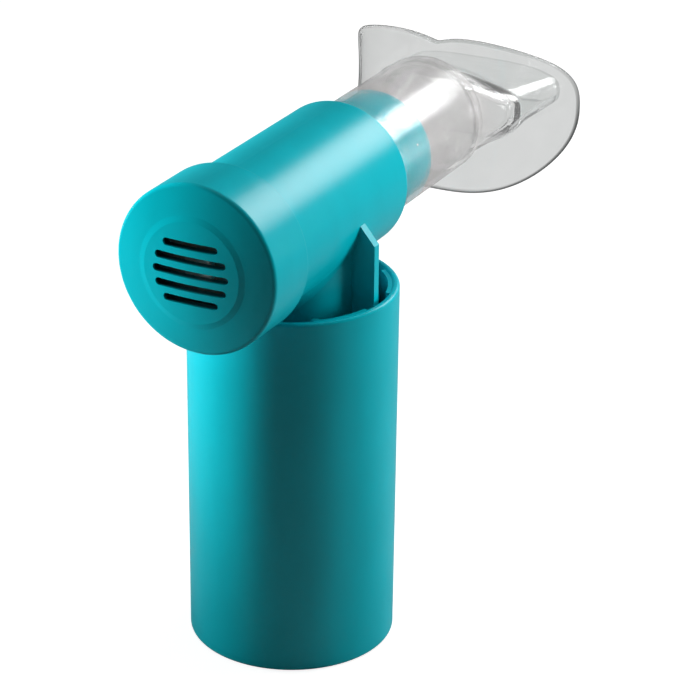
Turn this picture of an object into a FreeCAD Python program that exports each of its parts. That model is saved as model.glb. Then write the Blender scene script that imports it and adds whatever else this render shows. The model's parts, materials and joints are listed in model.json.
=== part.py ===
import FreeCAD, Part
import math
import os

from FreeCAD import Placement, Rotation, Vector

# Inspiratory muscle trainer, in millimetres.
# The origin is the centre of the handle cover's base, +Z is up and +X points to the mouthpiece.

# Handle cover: a deep cup that slides over the load mechanism from below
cover_height = 97.8
cover_wall = 2.0
cover_floor = 3.0
cover_draft = 0.3
cover_rim_round = 0.8
cover_base_round = 1.2
base_ring_width = 4.0
base_centre_radius = 15.0
base_relief = 0.6
cover_rib_count = 8
cover_rib_width = 1.6
cover_rib_reach = 3.2
land_depth = 1.0
land_height = 14.0
land_drop = 0.4
land_start_deg = 14.0
land_end_deg = 49.0

# Body shell: barrel, mouthpiece port, stem and fins, moulded as one
barrel_radius = 19.6
barrel_wall = 2.2
barrel_front_x = 25.0
barrel_rear_x = -42.0
barrel_edge_round = 0.9
port_radius = 14.95
port_wall = 2.0
port_length = 21.4
stem_wall = 2.2
stem_foot_wall = 1.35
fin_width = 2.4
fin_corner_drop = 6.3
fin_tip_drop = 1.5
fin_inset = 1.4
boss_radius = 2.9
boss_height = 13.0
boss_nose = 2.6
boss_bite = 0.6

# Valve cap and its breathing grille
cap_wall = 2.05
cap_front_x = -32.0
cap_face_x = -51.2
cap_face_wall = 2.2
cap_face_crown = 3.0
cap_edge_round = 1.2
cap_rim_round = 0.5
cap_pad_radius = 12.9
cap_pad_slope = 1.5
cap_pad_rise = 0.15
cap_cavity_round = 1.0
grille_radius = 10.25
grille_slot_height = 1.9
grille_pitch = 3.53
grille_slot_count = 5

# Exhale valve: spoked seat, soft flap and centre stud
exhale_seat_thickness = 2.2
exhale_seat_bore = 13.2
exhale_hub_radius = 4.0
exhale_spoke_width = 2.2
exhale_spoke_count = 6
exhale_lip_height = 0.5
exhale_lip_width = 0.8
flap_radius = 14.6
flap_thickness = 0.9
flap_travel = 1.8
stud_radius = 1.6
stud_head_radius = 4.2
stud_head_thickness = 1.3

# Mouthpiece: silicone socket, flattened neck and curved bite flange
socket_wall = 1.35
socket_front_x = 76.5
shoulder_step = 0.7
shoulder_round = 1.2
neck_overlap = 4.0
collar_length = 6.8
collar_rise = 0.6
neck_tip_x = 111.0
neck_half_width = 20.4
tip_half_width = 23.2
neck_half_height = 7.2
tip_half_height = 5.4
neck_wall = 1.7
flange_x = 84.7
flange_half_width = 33.7
flange_half_height = 22.1
flange_sweep = 16.5
flange_lean = 6.74006
flange_thickness = 1.7
flange_corner_power = 2.65
notch_depth = 2.9
notch_width = 9.0

# Spring cage under the stem
cage_plate_thickness = 3.0
cage_plate_edge = 0.7
cage_plate_height = 77.0
cage_radius = 17.4
cage_wall = 1.8
cage_floor_height = 20.0
cage_floor_thickness = 3.0
cage_slot_count = 4
cage_slot_width = 12.0
cage_slot_round = 2.0
cage_top_band = 4.0
cage_hub_radius = 6.2
cage_hub_drop = 2.4
cage_spoke_width = 3.0
cage_air_radius = 14.4
floor_hole_radius = 2.6
floor_hole_circle = 10.6
tick_count = 11
tick_height = 0.5
tick_rise = 0.25
tick_gap_deg = 2.5
tick_short_deg = 9.0
tick_long_deg = 14.0

# Inhale valve: seat ring, seal and poppet disc
inlet_seat_bore = 11.0
inlet_seat_thickness = 4.0
inlet_lip_height = 1.2
inlet_lip_inner = 11.6
inlet_lip_outer = 12.8
o_ring_section = 1.5
seal_radius = 13.0
seal_inner_radius = 6.1
seal_thickness = 1.4
poppet_radius = 13.4
poppet_thickness = 2.0
poppet_hub_radius = 5.0
poppet_hub_height = 3.4
poppet_rib_count = 6
poppet_rib_width = 1.2
inlet_lift = 5.0

# Load spring, spindle, nut and knob
spindle_radius = 3.0
spindle_neck_radius = 2.2
bush_radius = 4.6
bush_flange_radius = 5.6
bush_flange_thickness = 0.8
spring_wire = 1.9
spring_mean_radius = 9.6
spring_turns = 7.0
spring_washer_thickness = 1.2
nut_height = 8.0
nut_hub_radius = 6.8
nut_flange_radius = 13.2
nut_flange_thickness = 2.4
nut_wing_height = 4.0
nut_floor_gap = 0.5
nut_travel = 22.0
pointer_thickness = 1.0
pointer_height = 3.2
pointer_clip_width = 6.0
pointer_clip_depth = 2.2
knob_radius = 17.8
knob_skirt = 2.0
knob_face = 3.0
knob_hub_radius = 6.0
knob_flute_count = 24
knob_flute_radius = 1.3
knob_floor_gap = 2.0
knob_recess_depth = 1.2
knob_recess_radius = 5.0
screw_shank_radius = 1.25
screw_head_radius = 2.1
screw_head_height = 1.8
screw_length = 9.0
centre_screw_radius = 1.3
centre_screw_head_radius = 3.6
centre_screw_head_height = 2.0
centre_screw_length = 9.0
centre_washer_radius = 4.4
centre_washer_thickness = 0.7

# Clearances
seat_gap = 0.05
running_gap = 0.08
port_gap = 0.10
free_gap = 0.3
cover_rim_gap = 1.1
cover_side_gap = 1.6
fin_side_gap = 1.4
guide_gap = 0.4

# Heights and places that follow from the values above
boss_circle_radius = cage_radius + screw_head_radius + free_gap
cage_plate_radius = boss_circle_radius + boss_radius + cage_plate_edge
cover_bore = cage_plate_radius + cover_side_gap
cover_radius = cover_bore + cover_wall
stem_radius = boss_circle_radius - boss_radius + boss_bite
inlet_seat_radius = stem_radius - stem_foot_wall - seat_gap
fin_reach = cover_bore - fin_side_gap
barrel_axis_height = cover_height + cover_rim_gap + barrel_radius
stem_foot = cage_plate_height + cage_plate_thickness
stem_bore = stem_radius - stem_wall
barrel_bore = barrel_radius - barrel_wall
port_bore = port_radius - port_wall
port_end_x = barrel_front_x + port_length
rib_inner_radius = cover_bore - cover_rib_reach
fin_foot = stem_foot
fin_corner_height = barrel_axis_height - fin_corner_drop
fin_tip_height = barrel_axis_height - fin_tip_drop
inlet_seat_top = stem_foot + inlet_seat_thickness
inlet_lip_top = inlet_seat_top + inlet_lip_height
seal_top = inlet_lip_top + seal_thickness
poppet_top = seal_top + poppet_thickness
poppet_hub_top = poppet_top + poppet_hub_height
spindle_shoulder = inlet_lip_top
cage_bore = cage_radius - cage_wall
cage_floor_top = cage_floor_height + cage_floor_thickness
cage_slot_bottom = cage_floor_top
cage_slot_top = cage_plate_height - cage_top_band
cage_hub_foot = cage_plate_height - cage_hub_drop
spring_top = cage_plate_height - spring_washer_thickness
nut_foot = cage_floor_top + nut_floor_gap
nut_top = nut_foot + nut_height
wing_foot = nut_foot + (nut_height - nut_wing_height) / 2
pointer_mid = nut_foot + nut_height / 2
knob_foot = cover_floor + knob_floor_gap
knob_top = cage_floor_height - bush_flange_thickness - inlet_lift - guide_gap
pointer_inner = cage_radius + free_gap
between_windows = 180.0 / cage_slot_count
slot_half_deg = math.degrees(math.asin(cage_slot_width / 2 / cage_radius))
pointer_half_deg = slot_half_deg + 3.5
socket_bore = port_radius + port_gap
socket_radius = socket_bore + socket_wall
socket_rear_x = barrel_front_x + 1.0
cap_bore = barrel_radius + seat_gap
cap_radius = cap_bore + cap_wall
cap_cavity_radius = barrel_bore + 0.4
cap_dome_radius = (cap_radius ** 2 + cap_face_crown ** 2) / (2 * cap_face_crown)
cap_dome_centre_x = cap_face_x + cap_pad_rise + cap_dome_radius
exhale_pocket_radius = barrel_bore + 0.9
exhale_face_x = barrel_rear_x - exhale_lip_height
flap_rear_x = exhale_face_x - flap_thickness
stud_head_x = flap_rear_x - flap_travel - free_gap


def up(radius, height):
    """Point of a profile that is turned about the vertical axis."""
    return Vector(radius, 0, height)


def along(x, radius):
    """Point of a profile that is turned about the barrel's axis."""
    return Vector(x, 0, barrel_axis_height + radius)


def rounded_wire(corners):
    """Closed wire through (point, radius) corners, each corner rounded by its radius."""
    count = len(corners)
    starts = []
    ends = []
    arcs = []
    for i in range(count):
        before = corners[i - 1][0]
        here, radius = corners[i]
        after = corners[(i + 1) % count][0]
        back = (before - here).normalize()
        forth = (after - here).normalize()
        if radius <= 0:
            starts.append(here)
            ends.append(here)
            arcs.append(None)
            continue
        half = back.getAngle(forth) / 2
        setback = radius / math.tan(half)
        first = here + back * setback
        last = here + forth * setback
        inward = (back + forth).normalize()
        middle = here + inward * (radius / math.sin(half) - radius)
        starts.append(first)
        ends.append(last)
        arcs.append(Part.Arc(first, middle, last).toShape())
    edges = []
    for i in range(count):
        if arcs[i] is not None:
            edges.append(arcs[i])
        following = starts[(i + 1) % count]
        if ends[i].distanceToPoint(following) > 1e-6:
            edges.append(Part.makeLine(ends[i], following))
    return Part.Wire(edges)


def turn_up(corners):
    """Solid of revolution about the vertical axis from (radius, height, rounding) corners."""
    wire = rounded_wire([(up(r, z), rounding) for r, z, rounding in corners])
    return Part.Face(wire).revolve(Vector(0, 0, 0), Vector(0, 0, 1), 360)


def turn_along(corners):
    """Solid of revolution about the barrel's axis from (x, radius, rounding) corners."""
    wire = rounded_wire([(along(x, r), rounding) for x, r, rounding in corners])
    return Part.Face(wire).revolve(Vector(0, 0, barrel_axis_height), Vector(1, 0, 0), 360)


def rod_up(radius, bottom, top, x=0.0, y=0.0):
    """Upright cylinder between two heights."""
    return Part.makeCylinder(radius, top - bottom, Vector(x, y, bottom))


def ring_up(outer, inner, bottom, top):
    """Upright ring between two heights."""
    return rod_up(outer, bottom, top).cut(rod_up(inner, bottom - 1, top + 1))


def rod_along(radius, rear, front):
    """Cylinder on the barrel's axis between two x positions."""
    return Part.makeCylinder(radius, front - rear, Vector(rear, 0, barrel_axis_height), Vector(1, 0, 0))


def block(x0, x1, y0, y1, z0, z1):
    """Box between two corners."""
    return Part.makeBox(x1 - x0, y1 - y0, z1 - z0, Vector(x0, y0, z0))


def turned(shape, degrees):
    """Copy of a shape turned about the vertical axis."""
    copy = shape.copy()
    copy.rotate(Vector(0, 0, 0), Vector(0, 0, 1), degrees)
    return copy


def ring_sector(outer, inner, bottom, top, start_deg, end_deg):
    """Part of an upright ring between two directions."""
    wedge = Part.makeCylinder(outer, top - bottom, Vector(0, 0, bottom), Vector(0, 0, 1), end_deg - start_deg)
    wedge.rotate(Vector(0, 0, 0), Vector(0, 0, 1), start_deg)
    return wedge.cut(rod_up(inner, bottom - 1, top + 1))


def window_directions(offset=0.0):
    """Directions of the cage's windows, or of what stands between them."""
    return [offset - 90.0 + i * 360.0 / cage_slot_count for i in range(cage_slot_count)]


def handle_cover():
    foot_radius = cover_radius - cover_draft
    outside = turn_up([
        (0, 0, 0),
        (base_centre_radius, 0, 0),
        (base_centre_radius, base_relief, 0),
        (foot_radius - base_ring_width, base_relief, 0),
        (foot_radius - base_ring_width, 0, 0),
        (foot_radius, 0, cover_base_round),
        (cover_radius, cover_height, cover_rim_round),
        (cover_bore, cover_height, cover_rim_round),
        (cover_bore, cover_floor, 1.5),
        (0, cover_floor, 0),
    ])
    shape = outside
    rib = block(rib_inner_radius, cover_bore + cover_wall / 2, -cover_rib_width / 2, cover_rib_width / 2,
                cover_floor - 1, cage_plate_height)
    for i in range(cover_rib_count):
        shape = shape.fuse(turned(rib, (i + 0.5) * 360.0 / cover_rib_count))
    land_top = cover_height - land_drop
    land = ring_sector(cover_bore + cover_wall / 2, cover_bore - land_depth, land_top - land_height,
                       land_top, land_start_deg, land_end_deg)
    mirrored = ring_sector(cover_bore + cover_wall / 2, cover_bore - land_depth, land_top - land_height,
                           land_top, -land_end_deg, -land_start_deg)
    for direction in (90.0, 270.0):
        shape = shape.fuse([turned(land, direction), turned(mirrored, direction)])
    return shape.removeSplitter()


def fin_profile(corners):
    """Plate across the y axis from (y, z) corners, as thick as a fin."""
    wire = Part.makePolygon([Vector(-fin_width / 2, y, z) for y, z in corners + corners[:1]])
    return Part.Face(wire).extrude(Vector(fin_width, 0, 0))


def screw_boss():
    """Boss beside the stem that takes one cage screw from below."""
    top = stem_foot + boss_height
    body = rod_up(boss_radius, stem_foot, top, boss_circle_radius)
    nose = Part.makeCone(boss_radius, boss_radius / 3, boss_nose, Vector(boss_circle_radius, 0, top))
    return body.fuse(nose)


def body_shell():
    outside = turn_along([
        (barrel_rear_x, 0, 0),
        (barrel_rear_x, barrel_radius, 0.4),
        (barrel_front_x, barrel_radius, barrel_edge_round),
        (barrel_front_x, port_radius, 0.6),
        (port_end_x, port_radius, 0.7),
        (port_end_x, 0, 0),
    ])
    stem = rod_up(stem_radius, stem_foot, barrel_axis_height)
    inner = stem_radius - fin_inset
    side_fin = fin_profile([(inner, fin_foot), (fin_reach, fin_foot), (fin_reach, fin_corner_height),
                            (barrel_radius - 0.1, fin_tip_height), (inner, fin_tip_height)])
    under_top = barrel_axis_height - barrel_radius + barrel_wall / 2
    under_fin = fin_profile([(inner, fin_foot), (fin_reach, fin_foot), (fin_reach, under_top),
                             (inner, under_top)])
    pieces = [stem, side_fin, turned(side_fin, 180), turned(under_fin, 90), turned(under_fin, 270)]
    pieces += [turned(screw_boss(), a) for a in window_directions(between_windows)]
    shape = outside.fuse(pieces)

    inside = turn_along([
        (barrel_rear_x - 1, 0, 0),
        (barrel_rear_x - 1, exhale_pocket_radius, 0),
        (barrel_rear_x + exhale_seat_thickness, exhale_pocket_radius, 0),
        (barrel_rear_x + exhale_seat_thickness, barrel_bore, 0),
        (barrel_front_x - barrel_wall, barrel_bore, 1.5),
        (barrel_front_x - barrel_wall, port_bore, 0),
        (port_end_x + 1, port_bore, 0),
        (port_end_x + 1, 0, 0),
    ])
    bore = rod_up(stem_bore, stem_foot - 1, barrel_axis_height)
    pocket = rod_up(inlet_seat_radius + seat_gap, stem_foot - 1, inlet_seat_top)
    pilot = rod_up(screw_shank_radius, stem_foot - 1, stem_foot + screw_length - cage_plate_thickness + 1,
                   boss_circle_radius)
    cuts = [inside, bore, pocket] + [turned(pilot, a) for a in window_directions(between_windows)]
    return shape.cut(cuts).removeSplitter()


def grille_slot(offset):
    """One breathing slot of the cap, with rounded ends, at a height offset from the axis."""
    end_radius = grille_slot_height / 2
    half_length = math.sqrt(grille_radius ** 2 - offset ** 2) - end_radius
    z = barrel_axis_height + offset
    depth = cap_face_wall + cap_face_crown + 1
    start = cap_face_x - 1
    middle = block(start, start + depth, -half_length, half_length, z - end_radius, z + end_radius)
    ends = [Part.makeCylinder(end_radius, depth, Vector(start, side * half_length, z), Vector(1, 0, 0))
            for side in (-1, 1)]
    return middle.fuse(ends)


def dome_arc(rise, inner, outer):
    """Arc of the cap's face between two radii, raised outward from the dome."""
    points = []
    for radius in (inner, (inner + outer) / 2, outer):
        sag = cap_dome_radius - math.sqrt(cap_dome_radius ** 2 - radius ** 2)
        points.append(along(cap_dome_centre_x - cap_dome_radius + sag - rise, radius))
    return Part.Arc(*points).toShape()


def rounded_at(shape, x, radius, rounding):
    """Shape with its circular edge at an x position and a radius rounded."""
    edges = [edge for edge in shape.Edges
             if abs(edge.BoundBox.XMin - x) < 0.01 and abs(edge.BoundBox.XMax - x) < 0.01
             and abs(edge.BoundBox.ZMax - barrel_axis_height - radius) < 0.01]
    return shape.makeFillet(rounding, edges)


def valve_cap():
    pad = dome_arc(cap_pad_rise, 0, cap_pad_radius)
    face = dome_arc(0, cap_pad_radius + cap_pad_slope, cap_radius)
    slope = Part.makeLine(pad.lastVertex().Point, face.firstVertex().Point)
    edge = face.lastVertex().Point
    front = along(cap_front_x, cap_radius)
    axis_point = along(cap_front_x, 0)
    outline = [pad, slope, face, Part.makeLine(edge, front), Part.makeLine(front, axis_point),
               Part.makeLine(axis_point, pad.firstVertex().Point)]
    shape = Part.Face(Part.Wire(outline)).revolve(Vector(0, 0, barrel_axis_height), Vector(1, 0, 0), 360)
    shape = rounded_at(shape, edge.x, cap_radius, cap_edge_round)
    shape = rounded_at(shape, cap_front_x, cap_radius, cap_rim_round)

    cavity = rod_along(cap_cavity_radius, cap_face_x, barrel_rear_x + 1)
    inner_dome_radius = cap_dome_radius - cap_face_wall
    inner_dome = Part.makeSphere(inner_dome_radius, Vector(cap_dome_centre_x, 0, barrel_axis_height))
    cavity = cavity.common(inner_dome)
    corner_x = cap_dome_centre_x - math.sqrt(inner_dome_radius ** 2 - cap_cavity_radius ** 2)
    cavity = rounded_at(cavity, corner_x, cap_cavity_radius, cap_cavity_round)
    socket = rod_along(cap_bore, barrel_rear_x, cap_front_x + 1)
    half = (grille_slot_count - 1) / 2
    slots = [grille_slot((i - half) * grille_pitch) for i in range(grille_slot_count)]
    return shape.cut([cavity, socket] + slots).removeSplitter()


def exhale_seat():
    front = barrel_rear_x + exhale_seat_thickness
    rim = rod_along(exhale_pocket_radius - seat_gap, barrel_rear_x, front)
    rim = rim.cut(rod_along(exhale_seat_bore, barrel_rear_x - 1, front + 1))
    lip = rod_along(exhale_seat_bore + exhale_lip_width, exhale_face_x, barrel_rear_x + 0.5)
    lip = lip.cut(rod_along(exhale_seat_bore, exhale_face_x - 1, barrel_rear_x + 1))
    hub = rod_along(exhale_hub_radius, exhale_face_x, front)
    spoke = block(barrel_rear_x, front, 0, exhale_seat_bore + 1,
                  barrel_axis_height - exhale_spoke_width / 2, barrel_axis_height + exhale_spoke_width / 2)
    spokes = []
    for i in range(exhale_spoke_count):
        one = spoke.copy()
        one.rotate(Vector(0, 0, barrel_axis_height), Vector(1, 0, 0), i * 360.0 / exhale_spoke_count)
        spokes.append(one)
    shape = rim.fuse([lip, hub] + spokes)
    return shape.cut(rod_along(stud_radius + seat_gap, exhale_face_x - 1, front + 1)).removeSplitter()


def exhale_flap():
    disc = rod_along(flap_radius, flap_rear_x, exhale_face_x)
    return disc.cut(rod_along(stud_radius + free_gap, flap_rear_x - 1, exhale_face_x + 1))


def flap_stud():
    front = barrel_rear_x + exhale_seat_thickness
    head_rear = stud_head_x - stud_head_thickness
    return turn_along([
        (head_rear, 0, 0),
        (head_rear, stud_head_radius, 0.5),
        (stud_head_x, stud_head_radius, 0),
        (stud_head_x, stud_radius, 0),
        (front, stud_radius, 0),
        (front, stud_radius + 0.5, 0),
        (front + 1.6, stud_radius - 0.4, 0),
        (front + 1.6, 0, 0),
    ])


def oval(x, half_width, half_height):
    """Upright oval wire across the barrel's axis."""
    wire = Part.Wire(Part.Ellipse(Vector(0, 0, 0), half_width, half_height).toShape())
    wire.Placement = Placement(Vector(x, 0, barrel_axis_height), Rotation(Vector(1, 1, 1), 120))
    return wire


def neck_sections(shrink):
    """Ovals of the neck from the round socket to the flat tip, smaller by the wall inside."""
    start_x = socket_front_x - neck_overlap
    flat_x = flange_x + neck_overlap / 2
    round_radius = socket_radius - shoulder_step
    steps = 10
    sections = []
    for i in range(steps + 1):
        x = start_x + (neck_tip_x - start_x) * i / steps
        near = min(1.0, max(0.0, (x - socket_front_x + 1) / (flat_x - socket_front_x + 1)))
        ease = near * near * (3 - 2 * near)
        far = max(0.0, (x - flat_x) / (neck_tip_x - flat_x))
        width = round_radius + (neck_half_width - round_radius) * ease
        width += (tip_half_width - neck_half_width) * far
        height = round_radius + (neck_half_height - round_radius) * ease
        height += (tip_half_height - neck_half_height) * far
        sections.append((x, width - shrink, height - shrink))
    return sections


def neck_loft(shrink):
    """Smooth solid through the neck's ovals."""
    wires = [oval(x, w, h) for x, w, h in neck_sections(shrink)]
    return Part.makeLoft(wires, True, False)


def flange_outline():
    """Outline of the bite flange seen along the barrel: a soft rectangle with a notch on top."""
    points = []
    count = 72
    power = 2 / flange_corner_power
    for i in range(count):
        angle = 2 * math.pi * (i + 0.5) / count
        side = math.sin(angle)
        rise = math.cos(angle)
        y = flange_half_width * math.copysign(abs(side) ** power, side)
        z = flange_half_height * math.copysign(abs(rise) ** power, rise)
        if rise > 0:
            z -= notch_depth * math.exp(-(y / notch_width) ** 2)
        points.append(Vector(flange_x - flange_half_height, y, barrel_axis_height + z))
    curve = Part.BSplineCurve()
    curve.interpolate(Points=points, PeriodicFlag=True)
    return Part.Face(Part.Wire(curve.toShape())).extrude(Vector(2 * flange_half_width, 0, 0))


def flange_sheet():
    """Saddle-shaped sheet, swept towards the user at both ends and leaning back at top and bottom."""
    rows = []
    reach_y = flange_half_width + 2
    reach_z = flange_half_height + 2
    for i in range(17):
        y = -reach_y + 2 * reach_y * i / 16
        row = []
        for j in range(7):
            z = -reach_z + 2 * reach_z * j / 6
            x = flange_x + flange_sweep * (y / flange_half_width) ** 4
            x -= flange_lean * (z / flange_half_height) ** 2
            row.append(Vector(x, y, barrel_axis_height + z))
        rows.append(row)
    surface = Part.BSplineSurface()
    surface.interpolate(rows)
    return surface.toShape().extrude(Vector(flange_thickness, 0, 0))


def mouthpiece():
    collar_end = socket_rear_x + collar_length
    collar = socket_radius + collar_rise
    socket = turn_along([
        (socket_rear_x, 0, 0),
        (socket_rear_x, collar, 0.5),
        (collar_end, collar, 0.4),
        (collar_end + collar_rise, socket_radius, 0),
        (socket_front_x, socket_radius, shoulder_round),
        (socket_front_x, 0, 0),
    ])
    flange = flange_outline().common(flange_sheet())
    outside = socket.fuse([neck_loft(0.0), flange])
    bore = rod_along(socket_bore, socket_rear_x - 1, socket_front_x - neck_wall)
    return outside.cut([bore, neck_loft(neck_wall)])


def inlet_seat():
    groove_mid = stem_foot + inlet_seat_thickness / 2
    depth = o_ring_section
    groove = (groove_mid - o_ring_section / 2 - 0.1, groove_mid + o_ring_section / 2 + 0.1)
    return turn_up([
        (inlet_seat_bore, stem_foot, 0),
        (inlet_seat_radius, stem_foot, 0),
        (inlet_seat_radius, groove[0], 0),
        (inlet_seat_radius - depth, groove[0], 0),
        (inlet_seat_radius - depth, groove[1], 0),
        (inlet_seat_radius, groove[1], 0),
        (inlet_seat_radius, inlet_seat_top, 0),
        (inlet_lip_outer, inlet_seat_top, 0),
        (inlet_lip_outer, inlet_lip_top, 0.3),
        (inlet_lip_inner, inlet_lip_top, 0.3),
        (inlet_seat_bore, inlet_seat_top, 0),
    ])


def seat_o_ring():
    half = o_ring_section / 2 - 0.06
    mid = stem_foot + inlet_seat_thickness / 2
    centre = inlet_seat_radius - half - seat_gap / 2
    return Part.makeTorus(centre, half, Vector(0, 0, mid), Vector(0, 0, 1))


def inlet_seal():
    return ring_up(seal_radius, seal_inner_radius, inlet_lip_top, seal_top)


def inlet_disc():
    """Poppet disc with a hub, stiffening ribs and a collar that centres the seal."""
    shape = turn_up([
        (spindle_neck_radius + running_gap, inlet_lip_top, 0),
        (seal_inner_radius - seat_gap, inlet_lip_top, 0),
        (seal_inner_radius - seat_gap, seal_top, 0),
        (poppet_radius, seal_top, 0.3),
        (poppet_radius, poppet_top, 0.6),
        (poppet_hub_radius, poppet_top, 0.6),
        (poppet_hub_radius, poppet_hub_top, 0.4),
        (spindle_neck_radius + running_gap, poppet_hub_top, 0),
    ])
    inner = poppet_hub_radius - 0.8
    rib = Part.Face(Part.makePolygon([
        Vector(inner, -poppet_rib_width / 2, poppet_top - 0.5),
        Vector(poppet_radius - 1.6, -poppet_rib_width / 2, poppet_top - 0.5),
        Vector(inner, -poppet_rib_width / 2, poppet_hub_top - 0.6),
        Vector(inner, -poppet_rib_width / 2, poppet_top - 0.5),
    ])).extrude(Vector(0, poppet_rib_width, 0))
    for i in range(poppet_rib_count):
        shape = shape.fuse(turned(rib, i * 360.0 / poppet_rib_count))
    return shape.removeSplitter()


def spindle():
    """Load spindle: journal, long threaded part drawn at its outer size, and a neck for the disc."""
    shape = turn_up([
        (0, knob_foot + knob_recess_depth, 0),
        (spindle_radius, knob_foot + knob_recess_depth, 0.4),
        (spindle_radius, spindle_shoulder, 0.3),
        (spindle_neck_radius, spindle_shoulder, 0),
        (spindle_neck_radius, poppet_hub_top, 0),
        (0, poppet_hub_top, 0),
    ])
    hole = centre_screw_radius
    top_hole = rod_up(hole, poppet_hub_top - centre_screw_length, poppet_hub_top + 1)
    foot = knob_foot + knob_recess_depth
    foot_hole = rod_up(hole, foot - 1, foot + centre_screw_length)
    flat = block(spindle_radius - 0.6, spindle_radius + 1, -spindle_radius, spindle_radius,
                 knob_foot, knob_top)
    return shape.cut([top_hole, foot_hole, flat])


def centre_screw(face, direction):
    """Pan-head screw whose head stands on a face and whose shank goes into the spindle."""
    shank = Part.makeCylinder(centre_screw_radius - seat_gap, centre_screw_length - 0.5,
                              Vector(0, 0, face), Vector(0, 0, -direction))
    head_foot = face + direction * centre_washer_thickness
    head = Part.makeCylinder(centre_screw_head_radius, centre_screw_head_height,
                             Vector(0, 0, head_foot), Vector(0, 0, direction))
    top_edges = [e for e in head.Edges
                 if abs(e.BoundBox.ZMax - e.BoundBox.ZMin) < 1e-6
                 and abs(e.BoundBox.ZMax - head_foot) > centre_screw_head_height / 2]
    head = head.makeFillet(centre_screw_head_height * 0.4, top_edges)
    neck = Part.makeCylinder(centre_screw_radius - seat_gap, centre_washer_thickness + 0.2,
                             Vector(0, 0, face), Vector(0, 0, direction))
    cross_depth = centre_screw_head_height * 0.55
    cross_face = head_foot + direction * centre_screw_head_height
    low = min(cross_face, cross_face - direction * cross_depth)
    arm = centre_screw_head_radius * 0.55
    cross = block(-arm, arm, -0.4, 0.4, low - 0.01, low + cross_depth + 0.01)
    return head.fuse([shank, neck]).cut([cross, turned(cross, 90)])


def valve_screw():
    return centre_screw(poppet_hub_top, 1)


def valve_washer():
    return ring_up(centre_washer_radius, centre_screw_radius + seat_gap, poppet_hub_top,
                   poppet_hub_top + centre_washer_thickness)


def knob_screw():
    return centre_screw(knob_foot + knob_recess_depth, -1)


def knob_washer():
    face = knob_foot + knob_recess_depth
    return ring_up(centre_washer_radius, centre_screw_radius + seat_gap,
                   face - centre_washer_thickness, face)


def flanged_bush(seat, top):
    """Plain bush for the spindle, pushed up against its seat from below."""
    foot = seat - bush_flange_thickness
    bore = spindle_radius + running_gap
    return turn_up([
        (bore, foot, 0),
        (bush_flange_radius, foot, 0),
        (bush_flange_radius, seat, 0),
        (bush_radius, seat, 0),
        (bush_radius, top, 0),
        (bore, top, 0),
    ])


def upper_bush():
    """Flanged plain bush in the cage's top hub."""
    return flanged_bush(cage_hub_foot, stem_foot)


def lower_bush():
    """Flanged plain bush in the cage's floor."""
    return flanged_bush(cage_floor_height, cage_floor_top)


def cage_window():
    """One tall air window of the cage, with rounded corners, open through the wall."""
    half = cage_slot_width / 2
    tool = block(cage_bore - 2 * cage_wall, cage_radius + cage_wall, -half, half,
                 cage_slot_bottom, cage_slot_top)
    upright = [e for e in tool.Edges
               if abs(e.BoundBox.XMax - e.BoundBox.XMin) > 1 and e.BoundBox.YLength < 1e-6
               and e.BoundBox.ZMax > cage_slot_top - 1]
    return tool.makeFillet(cage_slot_round, upright)


def spring_cage():
    tube = ring_up(cage_radius, cage_bore, cage_floor_height, cage_plate_height + 0.5)
    floor = rod_up(cage_radius, cage_floor_height, cage_floor_top)
    plate = ring_up(cage_plate_radius, cage_air_radius, cage_plate_height, stem_foot)
    hub = rod_up(cage_hub_radius, cage_hub_foot, stem_foot)
    spoke = block(0, cage_air_radius + 1, -cage_spoke_width / 2, cage_spoke_width / 2,
                  cage_plate_height, stem_foot)
    spokes = [turned(spoke, a) for a in window_directions(between_windows)]
    ticks = []
    for i in range(tick_count):
        z = pointer_mid + nut_travel * i / (tick_count - 1)
        start = -90 + pointer_half_deg + tick_gap_deg
        length = tick_long_deg if i % 5 == 0 else tick_short_deg
        ticks.append(ring_sector(cage_radius + tick_rise, cage_radius - 0.4, z - tick_height / 2,
                                 z + tick_height / 2, start, start + length))
    shape = plate.fuse([tube, floor, hub] + spokes + ticks)
    cuts = [turned(cage_window(), a) for a in window_directions()]
    cuts.append(rod_up(bush_radius + seat_gap, cage_floor_height - 1, stem_foot + 1))
    for a in window_directions(between_windows):
        cuts.append(turned(rod_up(screw_shank_radius + 0.3, cage_plate_height - 1, stem_foot + 1,
                                  boss_circle_radius), a))
    for a in window_directions():
        cuts.append(turned(rod_up(floor_hole_radius, cage_floor_height - 1, cage_floor_top + 1,
                                  floor_hole_circle), a))
    return shape.cut(cuts).removeSplitter()


def spring_washer():
    return ring_up(spring_mean_radius + spring_wire / 2 + 1.4, cage_hub_radius + seat_gap,
                   spring_top, cage_plate_height)


def load_spring():
    """Compression spring with ground ends, at its length for the lowest load."""
    length = spring_top - nut_top
    helix = Part.makeHelix(length / spring_turns, length, spring_mean_radius)
    section = Part.makeCircle(spring_wire / 2, Vector(spring_mean_radius, 0, 0), Vector(0, 1, 0))
    coil = Part.Wire(helix).makePipeShell([Part.Wire(section)], True, True)
    coil.translate(Vector(0, 0, nut_top))
    outer = spring_mean_radius + spring_wire
    return coil.common(rod_up(outer, nut_top, spring_top))


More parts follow.
